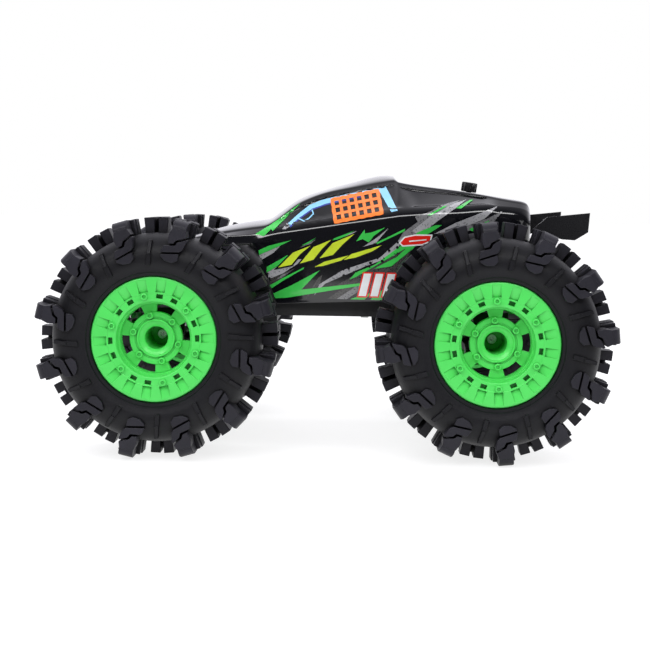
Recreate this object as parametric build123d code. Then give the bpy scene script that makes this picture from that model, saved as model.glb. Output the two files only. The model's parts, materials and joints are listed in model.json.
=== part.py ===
"""Big-wheel radio-controlled stunt car.

Frame: +X towards the rear of the car, +Y towards its right side, +Z up.
The origin is on the ground, halfway between the axles, in the plane of symmetry.
Every length is in millimetres.
"""
import os
from math import atan2, cos, degrees, hypot, radians, sin

from build123d import *

os.makedirs("parts", exist_ok=True)

# ---------------------------------------------------------------- driving dimensions
HALF_BASE = 112.5          # axle to origin, along X
AXLE_Z = 80.0              # axle height, also the tyre's outer radius
WHEEL_MID = 111.0          # wheel's middle plane, |y|

# tyre, radii and half widths from the wheel's middle plane
TYRE_R = 80.0
CARCASS_R = 69.5
BEAD_R = 41.65
TYRE_HALF = 38.0
LUGS_PER_SIDE = 12
LUG_HALF_ANGLE = 3.75
FORK_HALF_ANGLE = 2.5
FORK_OFFSET = 3.35
LUG_PHASE = {"front": 16.7, "rear": 5.4}

# rim
RIM_R = 41.6
RIM_BARREL_R = 38.2
RIM_FACE = 31.15           # ring face, from the middle plane
RIM_STEP = 24.8
RIM_DISC = 19.4
RIM_BORE_R = 7.6
POCKETS = 18
POCKET_DEPTH = 1.1
WINDOWS = 6
RIM_PHASE = {"front": 42.5, "rear": 32.5}

# suspension: exact parallelogram, points given as (|y|, z)
LOWER_IN = (28.0, 84.0)
UPPER_IN = (28.0, 110.0)
ARM_SPAN = 48.0            # lateral reach of each arm
ARM_DROP = 16.0            # outer pivot below the inner pivot
ARM_LEN = hypot(ARM_SPAN, ARM_DROP)
DROOP = degrees(atan2(ARM_DROP, ARM_SPAN))
KINGPIN = 84.0             # |y| of the steering axis and of the outer drive joint
CARRIER_END = 88.4         # |y| of the carrier's outer end, short of the rim's hub when steered
SHAFT_IN = (KINGPIN - ARM_SPAN, AXLE_Z + ARM_DROP)
STEER_X = -20.0            # steering stud ahead of the axle
TIE_Z = 91.5               # height of the outer tie rod eye

# coil-over shock, in the plane x = SHOCK_X
SHOCK_X = 14.0
SHOCK_TOP = (38.0, 131.0)
SHOCK_S = 33.0             # lower eye, along the lower arm
SHOCK_T = 6.0              # lower eye, above the lower arm

RUN = 0.06                 # running clearance on a radius
SHELL_T = 1.6              # body shell thickness


def save(shape, node):
    """Write one named piece."""
    export_step(shape, "parts/" + node + ".step")


def box(x0, x1, y0, y1, z0, z1):
    """Box between two corners."""
    size = Box(x1 - x0, y1 - y0, z1 - z0)
    return Pos((x0 + x1) / 2, (y0 + y1) / 2, (z0 + z1) / 2) * size


def rod(p, q, radius):
    """Round bar between two points."""
    start = Vector(*p)
    axis = Vector(*q) - start
    return extrude(Plane(start, z_dir=axis) * Circle(radius), amount=axis.length)


def spun(points):
    """Solid of revolution about Y from (y, radius) points."""
    return revolve(make_face(Plane.YZ * Polyline(*points, close=True)), axis=Axis.Y)


def sector(r0, r1, a0, a1, y0, y1, steps=2):
    """Ring sector about Y: angles are measured from +X towards +Z."""
    angles = [radians(a0 + (a1 - a0) * i / steps) for i in range(steps + 1)]
    outer = [(r1 * cos(a), r1 * sin(a)) for a in angles]
    inner = [(r0 * cos(a), r0 * sin(a)) for a in reversed(angles)]
    face = make_face(Plane.XZ * Polyline(*(outer + inner), close=True))
    return Pos(0, y0, 0) * extrude(face, amount=y1 - y0, dir=(0, 1, 0))


def polar(r, angle, y=0.0):
    """Point at a radius and angle about Y."""
    return (r * cos(radians(angle)), y, r * sin(radians(angle)))


def slab(points, y0, y1):
    """Side-view outline of (x, z) points, extruded between two y values."""
    face = make_face(Plane.XZ * Polyline(*points, close=True))
    return Pos(0, y0, 0) * extrude(face, amount=y1 - y0, dir=(0, 1, 0))


# ---------------------------------------------------------------- wheels
def tyre(phase):
    """Lugged balloon tyre about Y; the outer side faces -Y."""
    half = [(31.0, BEAD_R), (33.5, 46.0), (35.4, 54.0), (35.0, 60.5), (32.5, 66.0), (27.0, CARCASS_R)]
    inner = [(24.0, 66.0), (29.0, 63.0), (31.6, 58.0), (31.6, 53.0), (29.8, 47.0), (25.5, 45.0),
             (25.5, BEAD_R)]
    outline = [(-h, r) for h, r in half] + [(h, r) for h, r in reversed(half)]
    cavity = [(h, r) for h, r in reversed(inner)] + [(-h, r) for h, r in inner]
    body = spun(outline + cavity)
    cap = [(14.0, 68.0), (14.0, TYRE_R), (29.0, TYRE_R), (35.5, 77.5), (TYRE_HALF, 71.5), (37.6, 63.0),
           (36.0, 55.0), (34.5, 55.0), (33.9, 61.0), (31.0, 66.0), (26.0, 68.0)]
    fork = [(-5.0, 68.0), (-5.0, TYRE_R), (15.0, TYRE_R), (15.0, 68.0)]
    for side in (-1, 1):
        cap_ring = spun([(side * h, r) for h, r in cap])
        fork_ring = spun([(side * h, r) for h, r in fork])
        start = phase if side < 0 else phase + 180.0 / LUGS_PER_SIDE
        for i in range(LUGS_PER_SIDE):
            mid = start + 360.0 * i / LUGS_PER_SIDE
            wedge = sector(50, 84, mid - LUG_HALF_ANGLE, mid + LUG_HALF_ANGLE, -40, 40)
            body += cap_ring & wedge
            for turn in (-FORK_OFFSET, FORK_OFFSET):
                low = mid + turn - FORK_HALF_ANGLE
                wedge = sector(60, 84, low, low + 2 * FORK_HALF_ANGLE, -40, 40)
                body += fork_ring & wedge
    return body


def rim(phase):
    """Deep dished six-spoke rim about Y; the outer side faces -Y."""
    front = [(RIM_FACE, RIM_R), (RIM_FACE, 25.3), (RIM_STEP, 24.7), (RIM_STEP, 23.5), (RIM_DISC, 23.3),
             (RIM_DISC, 14.0), (RIM_DISC + 1.4, 14.0), (RIM_DISC + 1.4, 12.2), (13.0, RIM_BORE_R),
             (-13.5, RIM_BORE_R), (-13.5, 1.7), (-16.0, 1.7), (-16.0, 6.0), (-20.7, 6.0)]
    back = [(-20.7, 10.5), (15.5, 10.5), (15.5, 26.5), (27.0, 28.5), (27.5, RIM_BARREL_R),
            (-31.0, RIM_BARREL_R), (-31.0, RIM_R)]
    body = spun([(-h, r) for h, r in front + back])
    hexagon = Plane.XZ * RegularPolygon(12.2 / 2, 6, major_radius=False)
    body -= Pos(0, 20.8, 0) * extrude(hexagon, amount=4.8)
    for i in range(POCKETS):
        mid = phase + 360.0 * i / POCKETS
        pocket = box(31.3, 39.5, -RIM_FACE - 1, -RIM_FACE + POCKET_DEPTH, -3, 3)
        body -= Rot(0, -mid, 0) * pocket
        if i % 3:
            slot = box(27.2, 30.0, -RIM_FACE - 1, -RIM_FACE + POCKET_DEPTH, -2.2, 2.2)
            body -= Rot(0, -mid, 0) * slot
    for i in range(WINDOWS):
        mid = phase + 360.0 * i / WINDOWS
        body -= sector(17.5, 22.8, mid + 15, mid + 45, -RIM_DISC - 2, -14, 4)
        x, _, z = polar(28.5, mid)
        boss = rod((x, -RIM_FACE + 1, z), (x, -RIM_FACE - 1.2, z), 2.2)
        body += boss
        body -= rod((x, -RIM_FACE - 2, z), (x, -RIM_FACE + 3, z), 1.05)
        x, _, z = polar(15.6, mid + 3)
        body += rod((x, -RIM_DISC + 1, z), (x, -RIM_DISC - 1.0, z), 1.7)
    return body


def stub_axle():
    """Drive cup, bearing journal and hexagon hub; y counts outwards from the car's middle."""
    profile = [(79.5, 5.9), (79.5, 6.3), (89.9, 6.3), (89.9, 5.0), (95.0, 5.0), (95.0, 1.55),
               (88.8, 1.55), (88.8, 0.0), (87.6, 0.0), (87.6, 3.4), (84.0, 3.4)]
    body = spun(profile)
    hexagon = Plane.XZ * RegularPolygon(12.0 / 2, 6, major_radius=False)
    hub = Pos(0, 94.9, 0) * extrude(hexagon, amount=4.5)
    hub -= rod((0, 90, 0), (0, 96, 0), 4.0)
    return body + hub


def wheel_screw():
    """Pan head screw with a cross recess that clamps the rim on the hexagon."""
    body = spun([(90.0, 0.0), (90.0, 1.5), (97.6, 1.5), (97.6, 2.75), (99.4, 2.6), (100.1, 1.8),
                 (100.1, 0.0)])
    for angle in (0, 90):
        body -= Rot(0, angle, 0) * box(-1.6, 1.6, 98.8, 101, -0.35, 0.35)
    return body


# ---------------------------------------------------------------- suspension corner
# Drawn for a front right corner: x from the axle (negative ahead), y outwards.
def arm_point(inner, s, t=0.0):
    """(y, z) of a point on an arm: s along it, t above it."""
    a = radians(DROOP)
    return (inner[0] + s * cos(a) + t * sin(a), inner[1] - s * sin(a) + t * cos(a))


def on_arm(shape, inner):
    """Tilt a shape drawn flat (x, s, t) to the arm's rest angle at its inner pivot."""
    return Pos(0, inner[0], inner[1]) * (Rot(-DROOP, 0, 0) * shape)


def plate(points, t0, t1):
    """Flat (x, s) outline between two heights."""
    face = make_face(Polyline(*points, close=True))
    return Pos(0, 0, t0) * extrude(face, amount=t1 - t0)


def lower_arm():
    """A-shaped lower arm with fork ears and the shock's lower clevis."""
    body = rod((-28, 0, 0), (28, 0, 0), 3.6)
    outline = [(-27, 0), (27, 0), (20.5, 30), (16, 41), (-16, 41), (-20.5, 30)]
    body += plate(outline, -2.5, 2.5)
    for sign in (-1, 1):
        ear = [(sign * 12.5, 38), (sign * 16, 38), (sign * 16, ARM_LEN), (sign * 12.5, ARM_LEN)]
        body += plate(ear, -2.5, 2.5)
        body += rod((sign * 12.5, ARM_LEN, 0), (sign * 16, ARM_LEN, 0), 3.6)
        body -= plate([(sign * 4, 7), (sign * 20, 7), (sign * 16, 25), (sign * 4, 25)], -4, 4)
    for x0 in (8.5, 16.9):
        ear = box(x0, x0 + 2.6, SHOCK_S - 3, SHOCK_S + 3, 2, SHOCK_T)
        ear += rod((x0, SHOCK_S, SHOCK_T), (x0 + 2.6, SHOCK_S, SHOCK_T), 3)
        body += ear
    body += rod((9, SHOCK_S, SHOCK_T), (19, SHOCK_S, SHOCK_T), 1.5)
    body -= rod((-30, 0, 0), (30, 0, 0), 1.5 + RUN)
    body -= rod((-20, ARM_LEN, 0), (20, ARM_LEN, 0), 2.0 + RUN)
    return on_arm(body, LOWER_IN)


def upper_arm():
    """Upper link: wide at the gearbox, one eye between the carrier's ears."""
    body = rod((-8, 0, 0), (28, 0, 0), 3.6)
    outline = [(-7, 0), (27, 0), (27, 3), (8, 8), (4.2, 12), (4.2, ARM_LEN), (-4.2, ARM_LEN), (-4.2, 12)]
    body += plate(outline, -2.4, 2.4)
    body += rod((-4.4, ARM_LEN, 0), (4.4, ARM_LEN, 0), 3.9)
    body -= rod((-30, 0, 0), (30, 0, 0), 1.5 + RUN)
    body -= rod((-20, ARM_LEN, 0), (20, ARM_LEN, 0), 2.3)
    return on_arm(body, UPPER_IN)


LOWER_OUT = arm_point(LOWER_IN, ARM_LEN)
UPPER_OUT = arm_point(UPPER_IN, ARM_LEN)


def carrier(steered):
    """C-shaped carrier; the rear one also holds the axle bearing."""
    y_low, z_low = LOWER_OUT
    y_top, z_top = UPPER_OUT
    body = box(-12, 12, 70, 74, z_low - 3, z_top + 3.2)
    body += box(-12, 12, 70, CARRIER_END, z_low - 3, 70.6)
    body += box(-12, 12, 79, CARRIER_END, 90.6, z_top + 3.2)
    for sign in (-1, 1):
        x0, x1 = sorted((sign * 5, sign * 12))
        body += box(x0, x1, 70, 80, 90.6, z_top + 3.2)
    body -= box(-5, 5, 69, 80.4, 88, 100)
    body -= rod((0, 69, 84.3), (0, 75, 84.3), 8)
    if not steered:
        body += rod((0, 76.5, AXLE_Z), (0, 89.8, AXLE_Z), 9)
        body += box(-4.5, 4.5, 79.5, 89, 70, 91)
        body -= rod((0, 76, AXLE_Z), (0, 91, AXLE_Z), 6.3 + RUN)
        body -= rod((0, 76, AXLE_Z), (0, 79.4, AXLE_Z), 8.0)
    else:
        body -= rod((0, KINGPIN, 60), (0, KINGPIN, 100), 2.0 + RUN)
    body += rod((-16, y_low, z_low), (16, y_low, z_low), 2.0)
    body += rod((-9, y_top, z_top), (9, y_top, z_top), 2.0)
    return body


def knuckle():
    """Steering knuckle: bearing barrel, kingpin stubs and a forward steering arm."""
    body = rod((0, 79.5, AXLE_Z), (0, 89.8, AXLE_Z), 9)
    body += rod((0, KINGPIN, 70.8), (0, KINGPIN, 90.2), 5)
    body += rod((0, KINGPIN, 65.5), (0, KINGPIN, 96.5), 2.0)
    body += box(STEER_X, -5, KINGPIN - 3.5, KINGPIN + 3.5, 83.5, 88.5)
    body += rod((STEER_X, KINGPIN, 83.5), (STEER_X, KINGPIN, 88.5), 4.2)
    body += rod((STEER_X, KINGPIN, 88.5), (STEER_X, KINGPIN, 96.5), 1.5)
    body += rod((STEER_X, KINGPIN, 96.0), (STEER_X, KINGPIN, 97.2), 2.9)
    body -= rod((0, 78, AXLE_Z), (0, 91, AXLE_Z), 6.3 + RUN)
    return body


def tie_rod():
    """Steering link, parallel to the arms so that bump doesn't steer the wheel."""
    inner = (STEER_X, KINGPIN - ARM_SPAN, TIE_Z + ARM_DROP)
    outer = (STEER_X, KINGPIN, TIE_Z)
    body = rod(inner, outer, 1.8)
    body += rod((STEER_X - 2.8, inner[1], inner[2]), (STEER_X + 2.8, inner[1], inner[2]), 3.6)
    body += rod((STEER_X, KINGPIN, TIE_Z - 1.9), (STEER_X, KINGPIN, TIE_Z + 1.9), 4.8)
    body -= rod((STEER_X - 4, inner[1], inner[2]), (STEER_X + 4, inner[1], inner[2]), 1.5 + RUN)
    body -= rod((STEER_X, KINGPIN, TIE_Z - 4), (STEER_X, KINGPIN, TIE_Z + 4), 2.8)
    return body


def driveshaft():
    """Half shaft with a ball at each end, parallel to the arms."""
    inner = (0, SHAFT_IN[0], SHAFT_IN[1])
    outer = (0, KINGPIN, AXLE_Z)
    return rod(inner, outer, 2.0) + Pos(*inner) * Sphere(3.2) + Pos(*outer) * Sphere(3.2)


SHOCK_LOW = arm_point(LOWER_IN, SHOCK_S, SHOCK_T)
SHOCK_LEN = hypot(SHOCK_LOW[0] - SHOCK_TOP[0], SHOCK_TOP[1] - SHOCK_LOW[1])
SHOCK_TILT = degrees(atan2(SHOCK_LOW[0] - SHOCK_TOP[0], SHOCK_TOP[1] - SHOCK_LOW[1]))


def on_shock(shape):
    """Tilt a shape drawn hanging from its top eye (x, y, down the -Z axis)."""
    return Pos(SHOCK_X, SHOCK_TOP[0], SHOCK_TOP[1]) * (Rot(SHOCK_TILT, 0, 0) * shape)


def shock_body():
    """Damper tube with its top eye and the spring's upper seat."""
    body = rod((-3, 0, 0), (3, 0, 0), 3.8)
    body += rod((0, 0, 0), (0, 0, -5), 2.9)
    body += rod((0, 0, -4.4), (0, 0, -34), 5.0)
    body += rod((0, 0, -8), (0, 0, -10.5), 7.2)
    body -= rod((0, 0, -9), (0, 0, -31.5), 3.9)
    body -= rod((0, 0, -30), (0, 0, -36), 1.6 + RUN)
    body -= rod((-4, 0, 0), (4, 0, 0), 1.5 + RUN)
    return on_shock(body)


def shock_rod():
    """Piston, rod, lower spring seat and lower eye."""
    body = rod((0, 0, -19), (0, 0, -21.5), 3.84)
    body += rod((0, 0, -19), (0, 0, -SHOCK_LEN + 2.5), 1.6)
    body += rod((0, 0, -SHOCK_LEN + 7.5), (0, 0, -SHOCK_LEN + 5.2), 7.0)
    body += rod((-2.6, 0, -SHOCK_LEN), (2.6, 0, -SHOCK_LEN), 3.1)
    body += rod((0, 0, -SHOCK_LEN + 2.5), (0, 0, -SHOCK_LEN + 5.2), 2.6)
    body -= rod((-4, 0, -SHOCK_LEN), (4, 0, -SHOCK_LEN), 2.1)
    return on_shock(body)


def shock_spring():
    """Coil spring between the two seats."""
    height = SHOCK_LEN - 7.5 - 10.5 - 1.7
    wire = 0.75
    path = Helix(pitch=height / 5.0, height=height, radius=6.1)
    start = Plane(path @ 0, z_dir=path % 0)
    coil = sweep(start * Circle(wire), path=path)
    return on_shock(Pos(0, 0, -SHOCK_LEN + 7.5 + 0.85) * coil)


def corner(shape, front, right):
    """Put a front right corner piece on any of the four corners."""
    if not front:
        shape = mirror(shape, about=Plane.YZ)
    if not right:
        shape = mirror(shape, about=Plane.XZ)
    return Pos(-HALF_BASE if front else HALF_BASE, 0, 0) * shape


CORNERS = (("fl", True, False), ("fr", True, True), ("rl", False, False), ("rr", False, True))
CORNER_PIECES = {
    "lower_arm": lower_arm(),
    "upper_arm": upper_arm(),
    "driveshaft": driveshaft(),
    "shock_body": shock_body(),
    "shock_rod": shock_rod(),
    "shock_spring": shock_spring(),
    "stub_axle": Pos(0, 0, AXLE_Z) * stub_axle(),
    "wheel_screw": Pos(0, 0, AXLE_Z) * wheel_screw(),
}
for node, shape in CORNER_PIECES.items():
    for tag, front, right in CORNERS:
        save(corner(shape, front, right), node + "_" + tag)
for tag, front, right in CORNERS:
    save(corner(carrier(front), front, right), "carrier_" + tag)
    if front:
        save(corner(knuckle(), front, right), "knuckle_" + tag)
        save(corner(tie_rod(), front, right), "tie_rod_" + tag)
for end, x in (("front", -HALF_BASE), ("rear", HALF_BASE)):
    wheel_tyre = Pos(x, -WHEEL_MID, AXLE_Z) * tyre(LUG_PHASE[end])
    wheel_rim = Pos(x, -WHEEL_MID, AXLE_Z) * rim(RIM_PHASE[end])
    save(wheel_tyre, "tyre_" + end[0] + "l")
    save(wheel_rim, "rim_" + end[0] + "l")
    save(mirror(wheel_tyre, about=Plane.XZ), "tyre_" + end[0] + "r")
    save(mirror(wheel_rim, about=Plane.XZ), "rim_" + end[0] + "r")

# ---------------------------------------------------------------- chassis
TUB_Y = 50.0
TUB_FRONT = -38.0
TUB_REAR = 44.0
TUB_FLOOR = 90.0
TUB_TOP = 104.0
SKID_Z = 84.0
SWITCH_X = 26.0
SWITCH_TRAVEL = 5.0


def axle_frame():
    """Skid floor, bulkheads and arm hinge pins of one axle, drawn for the front."""
    body = box(-34, 34, -23.5, 23.5, SKID_Z, SKID_Z + 4)
    body += box(29, 33, -33, 33, SKID_Z - 5, 117)
    body += box(-33, -29, -33, 33, SKID_Z - 5, 94)
    body += box(-12, -8.6, -33, 33, 104, 112)
    body += box(-12, -8.6, -10, 10, SKID_Z + 3, 105)
    for sign in (-1, 1):
        body += rod((-33, sign * 28, 84), (33, sign * 28, 84), 1.5)
        body += rod((-12, sign * 28, 110), (33, sign * 28, 110), 1.5)
    return body


def chassis_tub():
    """Tray for the battery with a spine to each axle frame and a bumper at each end."""
    body = box(TUB_FRONT, TUB_REAR, -TUB_Y, TUB_Y, TUB_FLOOR, TUB_TOP)
    body -= box(TUB_FRONT + 3, TUB_REAR - 3, -TUB_Y + 3, TUB_Y - 3, TUB_FLOOR + 3, TUB_TOP + 1)
    body += box(-HALF_BASE + 29, TUB_FRONT, -30, 30, SKID_Z, 93)
    body += box(TUB_REAR, HALF_BASE - 29, -30, 30, SKID_Z, 93)
    body += Pos(-HALF_BASE, 0, 0) * axle_frame()
    body += Pos(HALF_BASE, 0, 0) * mirror(axle_frame(), about=Plane.YZ)
    body += slab([(-162, 88), (-162, 99), (-158, 99), (-155, 92), (-146, 88), (-146, 84), (-156, 84)], -32, 32)
    body += slab([(162, 88), (162, 97), (158, 97), (155, 92), (146, 88), (146, 84), (156, 84)], -28, 28)
    body += box(-20, 26, -20.5, -19, 92, 104)
    body += box(-20, 26, 19, 20.5, 92, 104)
    body -= box(SWITCH_X - 3, SWITCH_X + 3 + SWITCH_TRAVEL, -36.5, -31.5, 80, 96)
    return body


def shock_tower(front):
    """Plate that holds both shock tops, drawn for the front."""
    y, z = SHOCK_TOP
    top = z + 5
    outline = [(-16, 88), (16, 88), (20, 116), (y + 5, z - 6), (y + 5, top), (y - 6, top), (14, 126),
               (-14, 126), (-y + 6, top), (-y - 5, top), (-y - 5, z - 6), (-20, 116)]
    face = make_face(Plane.YZ * Polyline(*outline, close=True))
    body = Pos(22.2, 0, 0) * extrude(face, amount=3.2)
    body -= rod((20, 0, 112), (27, 0, 112), 7)
    for sign in (-1, 1):
        body += rod((10.6, sign * y, z), (22.5, sign * y, z), 1.5)
        body += rod((17.2, sign * y, z), (22.5, sign * y, z), 3.2)
    if front:
        body += box(-8.4, 25.4, -11.5, 11.5, 110.3, 111.6)
    return body


def gearbox(front):
    """Differential case with its two drive cups, drawn for the front."""
    body = box(-8.3, 21, -23, 23, 88.2, 104)
    body += slab([(-8.3, 104), (21, 104), (16, 109.5), (-5, 109.5)], -18, 18)
    y, z = SHAFT_IN
    cups = []
    for sign in (-1, 1):
        body -= rod((0, sign * 20, z), (0, sign * 24, z), 3.2)
        cup = spun([(23.3, 0.0), (23.3, 5.5), (y + 3.8, 5.5), (y + 3.8, 5.1), (y, 3.5), (y - 4.2, 3.5),
                    (y - 4.2, 0.0)])
        cup += rod((0, 20.2, 0), (0, 23.5, 0), 3.0)
        cup = Pos(0, 0, z) * cup
        cups.append(cup if sign > 0 else mirror(cup, about=Plane.XZ))
    return Compound(children=[body, *cups])


save(chassis_tub(), "chassis_tub")
towers = [Pos(-HALF_BASE, 0, 0) * shock_tower(True)]
rear_tower = shock_tower(False)
rear_tower += box(22.2, 25.4, -8, 8, 120, 150)
towers.append(Pos(HALF_BASE, 0, 0) * mirror(rear_tower, about=Plane.YZ))

# body post: rises from the rear tower to the thumb knob
DECK_TILT = 7.9
KNOB_X = 102.0
KNOB_Z = 180.3
KNOB_AXIS = (sin(radians(DECK_TILT)), 0, cos(radians(DECK_TILT)))


def along_knob(d):
    """Point on the knob's axis, d above the deck."""
    return (KNOB_X + d * KNOB_AXIS[0], 0, KNOB_Z + d * KNOB_AXIS[2])


post = rod(along_knob(-40), along_knob(-3.2), 3.5)
post += rod(along_knob(-4), along_knob(5.0), 2.0)
post += box(HALF_BASE - 25.4, 101, -3, 3, 140, 146)
save(Compound(children=[towers[0], towers[1] + post]), "shock_towers")

front_gearbox = Pos(-HALF_BASE, 0, 0) * gearbox(True)
rear_gearbox = Pos(HALF_BASE, 0, 0) * mirror(gearbox(False), about=Plane.YZ)
save(Compound(children=[*front_gearbox.solids(), *rear_gearbox.solids()]), "gearboxes")

motor = rod((49, 0, 106), (76, 0, 106), 12.5)
motor += rod((76, 0, 106), (78.6, 0, 106), 4.5)
motor += box(49, 76, -9, 9, 93.1, 100)
motor -= rod((48, 0, 106), (50.5, 0, 106), 8)
save(motor, "motor")

battery = box(-19, 25, -18.4, 18.4, 93.2, 128)
battery = fillet(battery.edges().filter_by(Axis.X), 4)
save(battery, "battery_pack")

switch = box(SWITCH_X - 2.8, SWITCH_X + 2.8, -36.4, -31.6, 88.2, 92.8)
switch += box(SWITCH_X - 5, SWITCH_X + 5, -38, -30, 93.15, 94.2)
switch += box(SWITCH_X - 2.8, SWITCH_X + 2.8, -36.4, -31.6, 92.5, 94.2)
save(switch, "power_switch")

# ---------------------------------------------------------------- steering drive
RACK_Z = TIE_Z + ARM_DROP
RACK_Y = KINGPIN - ARM_SPAN


def steering_rack():
    """Sliding bar across the nose, with a clevis pin at each end."""
    body = box(STEER_X - 2.5, STEER_X + 2.5, -31, 31, RACK_Z - 2.5, RACK_Z + 2.5)
    for sign in (-1, 1):
        y = sign * RACK_Y
        for x0 in (STEER_X - 5.6, STEER_X + 3.2):
            y0, y1 = sorted((y + sign * 2.5, sign * 28))
            body += box(x0, x0 + 2.4, y0, y1, RACK_Z - 2.5, RACK_Z + 2.5)
        body += rod((STEER_X - 5.6, y, RACK_Z), (STEER_X + 5.6, y, RACK_Z), 1.5)
        y0, y1 = sorted((sign * 28, sign * 31))
        body += box(STEER_X - 5.6, STEER_X + 5.6, y0, y1, RACK_Z - 2.5, RACK_Z + 2.5)
    body += box(STEER_X - 5.5, STEER_X + 2.5, -4.5, 4.5, RACK_Z - 2.5, RACK_Z + 2.5)
    body -= box(STEER_X - 2.6, STEER_X + 2.6, -1.7, 1.7, RACK_Z - 3, RACK_Z + 3)
    return Pos(-HALF_BASE, 0, 0) * body


def servo():
    """Steering servo above the front gearbox, with a downward output shaft."""
    body = box(-13, 15, -10, 10, 116.5, 133)
    body = fillet(body.edges().filter_by(Axis.Z), 1.5)
    body += box(-18, 20, -10, 10, 120, 122)
    body += box(16, 22.1, -5, 5, 120, 122)
    body += rod((0, 0, 115.4), (0, 0, 117), 4)
    return Pos(-HALF_BASE, 0, 0) * body


def servo_horn():
    """Horn whose pin moves the rack."""
    body = rod((0, 0, 112.4), (0, 0, 115.2), 5)
    body += box(STEER_X, 0, -3, 3, 112.4, 115.2)
    body += rod((STEER_X, 0, 112.4), (STEER_X, 0, 115.2), 3)
    body += rod((STEER_X, 0, RACK_Z - 2), (STEER_X, 0, 113), 1.45)
    return Pos(-HALF_BASE, 0, 0) * body


save(steering_rack(), "steering_rack")
save(servo(), "steering_servo")
save(servo_horn(), "servo_horn")

# ---------------------------------------------------------------- body shell
# Stations along X: x, lower edge z and |y|, shoulder z and |y|, roof edge z and |y|, crown z.
STATIONS = (
    (-151.0, 112.0, 33.0, 117.0, 38.0, 122.0, 30.0, 124.0),
    (-138.0, 118.0, 39.0, 127.0, 43.0, 133.0, 34.0, 136.0),
    (-101.0, 133.0, 46.0, 138.0, 49.0, 144.0, 39.0, 146.3),
    (-77.0, 140.9, 50.0, 141.8, 51.5, 149.5, 43.0, 152.9),
    (-55.0, 142.0, 53.0, 143.4, 54.5, 153.0, 47.0, 157.2),
    (-45.2, 124.2, 54.0, 146.6, 56.0, 154.5, 49.5, 158.4),
    (-38.0, 98.6, 54.5, 148.4, 57.5, 158.6, 48.0, 163.3),
    (-22.3, 99.4, 56.0, 150.9, 59.5, 170.5, 44.5, 174.2),
    (-2.9, 100.2, 58.0, 154.0, 61.5, 178.4, 43.0, 181.0),
    (13.2, 101.0, 60.0, 156.6, 63.5, 182.0, 42.0, 185.6),
    (40.0, 102.2, 62.5, 160.8, 66.0, 187.3, 41.0, 191.8),
    (45.4, 102.2, 63.0, 161.6, 66.3, 188.0, 41.0, 191.3),
    (48.6, 102.2, 63.2, 162.2, 66.5, 186.4, 45.0, 187.0),
    (92.5, 102.2, 64.5, 165.5, 67.5, 180.6, 46.5, 181.2),
    (116.0, 102.2, 65.0, 167.0, 67.5, 177.0, 52.0, 177.9),
    (138.6, 102.2, 64.5, 167.5, 66.5, 173.0, 60.0, 174.2),
    (142.4, 102.2, 63.5, 165.0, 65.0, 169.5, 59.0, 170.5),
)


def shell_solid(inset, drop):
    """Closed solid through the stations, drawn in by `inset` and lowered by `drop`."""
    sections = []
    for x, z_low, y_low, z_mid, y_mid, z_top, y_top, z_crown in STATIONS:
        if x == STATIONS[0][0]:
            x += inset
        if x == STATIONS[-1][0]:
            x -= inset
        right = [(y_low - inset, z_low - drop), (y_mid - inset, z_mid), (y_top - 0.5 * inset, z_top - inset)]
        points = [(0, z_crown - inset)] + [(y, z) for y, z in reversed(right)]
        points += [(-y, z) for y, z in right]
        sections.append(Pos(x, 0, 0) * make_face(Plane.YZ * Polyline(*points, close=True)))
    return loft(sections, ruled=True)


shell = shell_solid(0, 0) - shell_solid(SHELL_T, 12)
arch = rod((HALF_BASE, -80, AXLE_Z), (HALF_BASE, 80, AXLE_Z), 72)
shell -= arch
shell -= rod(along_knob(-8), along_knob(4), 3.0)
save(shell, "body_shell")

knob = rod(along_knob(0.35), along_knob(7.6), 5.0)
for i in range(4):
    lobe = Rot(0, 0, 45 + 90 * i) * rod((3.6, 0, 0.35), (3.6, 0, 7.6), 2.6)
    lobe = Pos(KNOB_X, 0, KNOB_Z) * (Rot(0, DECK_TILT, 0) * lobe)
    knob += lobe
knob -= rod(along_knob(0), along_knob(5.8), 3.0)
save(knob, "thumb_knob")

# ---------------------------------------------------------------- wing
WING_Y = 71.6
PLATE_OUTLINE = ((140.7, 153.6), (151.9, 163.2), (181.2, 166.4), (180.3, 153.0), (171.2, 147.3), (162.5, 147.8))
wing = slab([(150.5, 157.0), (152.5, 158.8), (166.0, 160.2), (180.0, 162.4), (180.4, 161.0), (166.0, 157.6),
             (153.0, 156.0)], -WING_Y + 1.5, WING_Y - 1.5)
for sign in (-1, 1):
    y0, y1 = sorted((sign * WING_Y, sign * (WING_Y - 2.2)))
    wing += slab(PLATE_OUTLINE, y0, y1)
    strut = [(142.5, 150.5), (142.5, 164.0), (145.5, 164.0), (160.0, 159.0), (160.0, 157.0), (146.0, 150.5)]
    y0, y1 = sorted((sign * 22, sign * 25))
    wing += slab(strut, y0, y1)
save(wing, "rear_wing")
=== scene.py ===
"""Looks of the big-wheel stunt car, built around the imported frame.

Lengths are written in millimetres and turned into metres by MM.
The car faces -X, its left side faces -Y, and +Z is up.
"""
import json
from math import asin, cos, pi, radians, sin

import bmesh
import bpy
from mathutils import Matrix, Vector
from mathutils.bvhtree import BVHTree


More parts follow.
